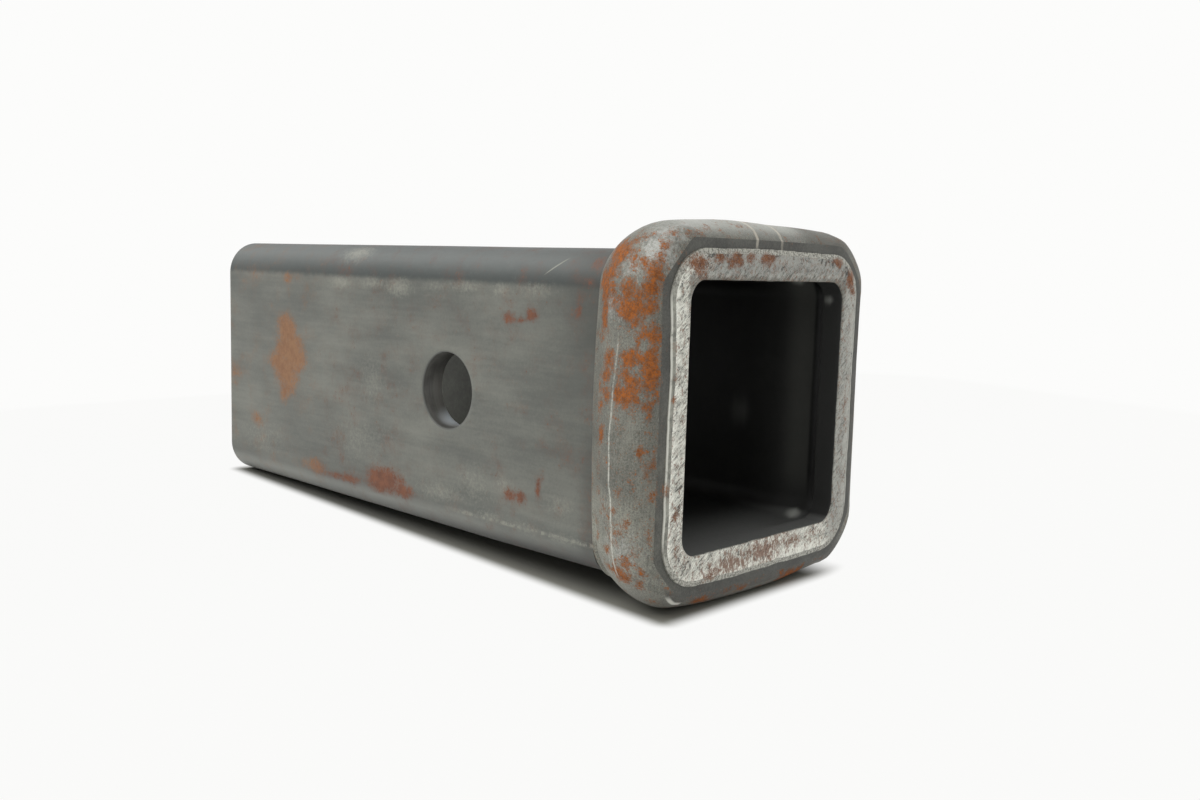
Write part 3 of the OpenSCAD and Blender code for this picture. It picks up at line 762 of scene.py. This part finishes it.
def boreMaterial():
    material, tree, shader, where, (x, y, z) = startFinish("darkBore", Metallic=0.1)
    clouds = grain(tree, where, 7, 5, 0.6)
    fine = grain(tree, where, 0.7, 4, 0.7)
    shade = calc(tree, "MULTIPLY_ADD", clouds, 0.6, calc(tree, "MULTIPLY", fine, 0.4))
    # painted light: the bore is lighter towards its open sawn end and in shade towards the mouth
    boreShadeTones = blend(tree, fade(tree, shade, 0.35, 0.65), tone(10, 10, 9), tone(22, 22, 20))
    openEndLitTones = blend(tree, fade(tree, shade, 0.35, 0.65), tone(74, 75, 66), tone(96, 98, 88))
    colour = blend(tree, fade(tree, y, -10 * mm, 55 * mm), boreShadeTones, openEndLitTones)
    # painted light: the lower wall is lighter behind the mouth, the right one only a little
    floorLight = calc(tree, "MULTIPLY", fade(tree, z, -24.5 * mm, -26 * mm), fade(tree, y, -36 * mm, -62 * mm, 0.0, 0.82))
    wallLight = fade(tree, y, -38 * mm, -60 * mm, 0.0, 0.18)
    colour = blend(tree, calc(tree, "MAXIMUM", floorLight, wallLight), colour, tone(112, 113, 111))
    # painted light on the shoulder behind the groove, and painted shade in its crease
    depth = calc(tree, "SUBTRACT", y, mouthY)
    walls = fade(tree, z, -24 * mm, -16 * mm)
    shoulderLight = fade(tree, calc(tree, "ABSOLUTE", calc(tree, "SUBTRACT", depth, 9.5 * mm)), 6 * mm, 1 * mm, 0.0, 0.15)
    colour = blend(tree, calc(tree, "MULTIPLY", shoulderLight, walls), colour, tone(112, 113, 104))
    creaseShade = fade(tree, calc(tree, "ABSOLUTE", calc(tree, "SUBTRACT", depth, 6.3 * mm)), 1.7 * mm, 0.8 * mm, 0.0, 0.9)
    colour = blend(tree, calc(tree, "MULTIPLY", creaseShade, walls), colour, tone(8, 8, 8))
    # painted highlights in the corner behind the groove and on the mouth band, and painted light on the right wall
    wearAndHighlight = fade(tree, painted(tree, "wearAndHighlight"), 0.05, 0.8)
    colour = blend(tree, wearAndHighlight, colour, tone(176, 178, 172))
    tree.links.new(colour, shader.inputs["Base Color"])
    tree.links.new(calc(tree, "MULTIPLY_ADD", fine, 0.2, 0.42), shader.inputs["Roughness"])
    bump(tree, shader, fine, 0.06, 0.5)
    return material


def sawnMaterial():
    material, tree, shader, where, (x, y, z) = startFinish("sawnEnd", Metallic=0.6)
    cuts = grain(tree, where, 0.35, 3, 0.6, stretch=(30, 1, 1), turn=(0, 4, 0))
    clouds = grain(tree, where, 6, 4, 0.6)
    shade = calc(tree, "MULTIPLY_ADD", cuts, 0.6, calc(tree, "MULTIPLY", clouds, 0.4))
    colour = blend(tree, fade(tree, shade, 0.36, 0.64), tone(118, 119, 114), tone(165, 166, 160))
    field = fade(tree, clouds, 0.55, 0.75, 0.0, 0.5)
    rusty, colour = addRust(tree, where, colour, 0.8, 0.5, 0.4, 0.8, None, field)
    tree.links.new(colour, shader.inputs["Base Color"])
    tree.links.new(calc(tree, "MULTIPLY_ADD", rusty, 0.3, 0.38), shader.inputs["Roughness"])
    bump(tree, shader, cuts, 0.08, 0.6)
    return material


def pinMaterial():
    material, tree, shader, where, (x, y, z) = startFinish("drilledHole", Metallic=0.2)
    turned = grain(tree, where, 0.5, 3, 0.6, stretch=(1, 12, 12))
    clouds = grain(tree, where, 4, 4, 0.6)
    shade = calc(tree, "MULTIPLY_ADD", turned, 0.4, calc(tree, "MULTIPLY", clouds, 0.6))
    colour = blend(tree, fade(tree, shade, 0.35, 0.65), tone(84, 83, 80), tone(106, 105, 101))
    # painted highlight low on the hole's wall, and painted light on its inner part below the middle
    wearAndHighlight = fade(tree, painted(tree, "wearAndHighlight"), 0.1, 0.75)
    colour = blend(tree, wearAndHighlight, colour, tone(206, 213, 217))
    inner = calc(tree, "MULTIPLY", fade(tree, calc(tree, "ABSOLUTE", x), 30 * mm, 27.5 * mm), fade(tree, z, 5 * mm, 0 * mm, 0.0, 0.36))
    colour = blend(tree, calc(tree, "MULTIPLY", inner, calc(tree, "SUBTRACT", 1.0, wearAndHighlight)), colour, tone(176, 174, 166))
    # the edge break keeps its scale
    colour = blend(tree, fade(tree, calc(tree, "ABSOLUTE", x), 31.3 * mm, 31.45 * mm), colour, tone(90, 91, 87))
    tree.links.new(colour, shader.inputs["Base Color"])
    tree.links.new(calc(tree, "MULTIPLY_ADD", clouds, 0.2, 0.3), shader.inputs["Roughness"])
    bump(tree, shader, turned, 0.04, 0.4)
    return material


paintMarks(steelTube, "rust", tubeFinish["marks"] + collarFinish["marks"] + ringFinish["marks"])
paintMarks(steelTube, "wearAndHighlight", collarFinish["wearAndHighlight"])
paintMarks(steelTube, "dust", tubeFinish["dusty"] + ringFinish["smudged"])
paintMarks(steelTube, "stain", ringFinish["stain"])
for makeFinish in (tubeMaterial, collarMaterial, bandMaterial, ringMaterial, rimMaterial,
                   boreMaterial, sawnMaterial, pinMaterial):
    steelTube.data.materials.append(makeFinish())
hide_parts("receiver_tube")
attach(steelTube, "root")
print("finishes made")


# The tube lies on the crown of its collar and the lower edge of its sawn end.
studio = {
    "collarAt": (-57.0, -38.1), "endAt": (94.75, -31.75), "floorSize": 6.0,
    "rearShade": (0.17, 0.17, 0.152, 1), "frontShade": (0.26, 0.258, 0.228, 1), "bounceTone": (0.75, 0.75, 0.74, 1), "backTone": tone(252, 252, 251),
    "zenith": 1.05, "horizon": 0.2, "sunFrom": (-0.55, 0.3, 0.78), "sunLevel": 1.6, "sunAngle": 46,
    # the tube's own shadow: its left, front, right and rear sides, how far it fades,
    # and how much of that fade holds on the right
    "shadowSides": (-28, -60.8, 20, 94), "fadesOver": 5.0, "rightShare": 0.3,
}


def buildFloor():
    s = studio
    (y0, z0), (y1, z1) = s["collarAt"], s["endAt"]
    tilt = math.atan2(z1 - z0, y1 - y0)
    bm = bmesh.new()
    bmesh.ops.create_grid(bm, x_segments=2, y_segments=2, size=s["floorSize"])
    bmesh.ops.transform(bm, verts=bm.verts, matrix=Matrix.Translation((0, y0 * mm, z0 * mm))
                        @ Matrix.Rotation(tilt, 4, "X"))
    mesh = bpy.data.meshes.new("paleFloor")
    bm.to_mesh(mesh)
    bm.free()
    floor = bpy.data.objects.new("paleFloor", mesh)
    bpy.context.scene.collection.objects.link(floor)
    material, tree, shader, where, (x, y, z) = startFinish("paleFloor", Roughness=0.9)
    shader.inputs["Specular IOR Level"].default_value = 0.1
    rays = tree.nodes.new("ShaderNodeLightPath")
    # the camera sees the floor darker than the light it bounces: painted shade that deepens the tube's shadow
    shade = blend(tree, fade(tree, y, 50 * mm, -20 * mm), s["rearShade"], s["frontShade"])
    seenTone = blend(tree, rays.outputs["Is Camera Ray"], s["bounceTone"], shade)
    tree.links.new(seenTone, shader.inputs["Base Color"])
    # outside the tube's own shadow, the camera and the steel see the floor as plain backdrop
    left, front, right, rear = (v * mm for v in s["shadowSides"])
    pastRight = calc(tree, "MULTIPLY", calc(tree, "SUBTRACT", x, right), s["rightShare"])
    pastX = calc(tree, "MAXIMUM", calc(tree, "SUBTRACT", left, x), pastRight)
    pastY = calc(tree, "MAXIMUM", calc(tree, "SUBTRACT", front, y), calc(tree, "SUBTRACT", y, rear))
    pastX, pastY = (calc(tree, "MAXIMUM", v, 0.0) for v in (pastX, pastY))
    away = calc(tree, "SQRT", calc(tree, "ADD", calc(tree, "MULTIPLY", pastX, pastX),
                                   calc(tree, "MULTIPLY", pastY, pastY)))
    plain = fade(tree, away, 0.0, s["fadesOver"] * mm, 0.0, 0.975)
    plain = calc(tree, "MAXIMUM", plain, fade(tree, away, 30 * mm, 130 * mm))
    seen = calc(tree, "MAXIMUM", rays.outputs["Is Camera Ray"], rays.outputs["Is Glossy Ray"])
    glow = tree.nodes.new("ShaderNodeEmission")
    glow.inputs["Color"].default_value = s["backTone"]
    mixed = tree.nodes.new("ShaderNodeMixShader")
    tree.links.new(calc(tree, "MULTIPLY", plain, seen), mixed.inputs[0])
    tree.links.new(shader.outputs[0], mixed.inputs[1])
    tree.links.new(glow.outputs[0], mixed.inputs[2])
    tree.links.new(mixed.outputs[0], tree.nodes["Material Output"].inputs["Surface"])
    mesh.materials.append(material)


def buildWorld():
    world = bpy.data.worlds.new("studioWorld")
    bpy.context.scene.world = world
    world.use_nodes = True
    tree = world.node_tree
    back = tree.nodes["Background"]
    back.inputs["Color"].default_value = studio["backTone"]
    split = tree.nodes.new("ShaderNodeSeparateXYZ")
    tree.links.new(tree.nodes.new("ShaderNodeTexCoord").outputs["Generated"], split.inputs[0])
    rays = tree.nodes.new("ShaderNodeLightPath")
    seen = calc(tree, "MAXIMUM", rays.outputs["Is Camera Ray"], rays.outputs["Is Glossy Ray"])
    light = fade(tree, split.outputs["Z"], 0.0, 0.75, studio["horizon"], studio["zenith"])
    strength = calc(tree, "MAXIMUM", seen, light)
    tree.links.new(strength, back.inputs["Strength"])


# A broad soft light from above, behind and to the left.
def buildSun():
    light = bpy.data.lights.new("windowLight", "SUN")
    light.energy = studio["sunLevel"]
    light.angle = math.radians(studio["sunAngle"])
    lamp = bpy.data.objects.new("windowLight", light)
    lamp.rotation_euler = (-Vector(studio["sunFrom"])).to_track_quat("-Z", "Y").to_euler()
    bpy.context.scene.collection.objects.link(lamp)


view = {"yaw": -46.81, "pitch": 6.81, "roll": 1.72, "place": (-186.14, -191.38, 27.98),
        "focal": 1112.54, "imageWidth": 1200}


def buildCamera():
    a, e, r = (math.radians(view[key]) for key in ("yaw", "pitch", "roll"))
    back = Vector((math.sin(a) * math.cos(e), -math.cos(a) * math.cos(e), math.sin(e)))
    right = Vector((0, 0, 1)).cross(back).normalized()
    up = back.cross(right)
    x = math.cos(r) * right + math.sin(r) * up
    y = -math.sin(r) * right + math.cos(r) * up
    lens = bpy.data.cameras.new("photoCamera")
    lens.sensor_width = 36
    lens.lens = view["focal"] * lens.sensor_width / view["imageWidth"]
    lens.clip_start = 0.01
    camera = bpy.data.objects.new("photoCamera", lens)
    place = Matrix((x, y, back)).transposed().to_4x4()
    place.translation = Vector(view["place"]) * mm
    camera.matrix_world = place
    bpy.context.scene.collection.objects.link(camera)
    bpy.context.scene.camera = camera


buildFloor()
buildWorld()
buildSun()
buildCamera()
bpy.context.scene.view_settings.view_transform = "Standard"
print("stage set")
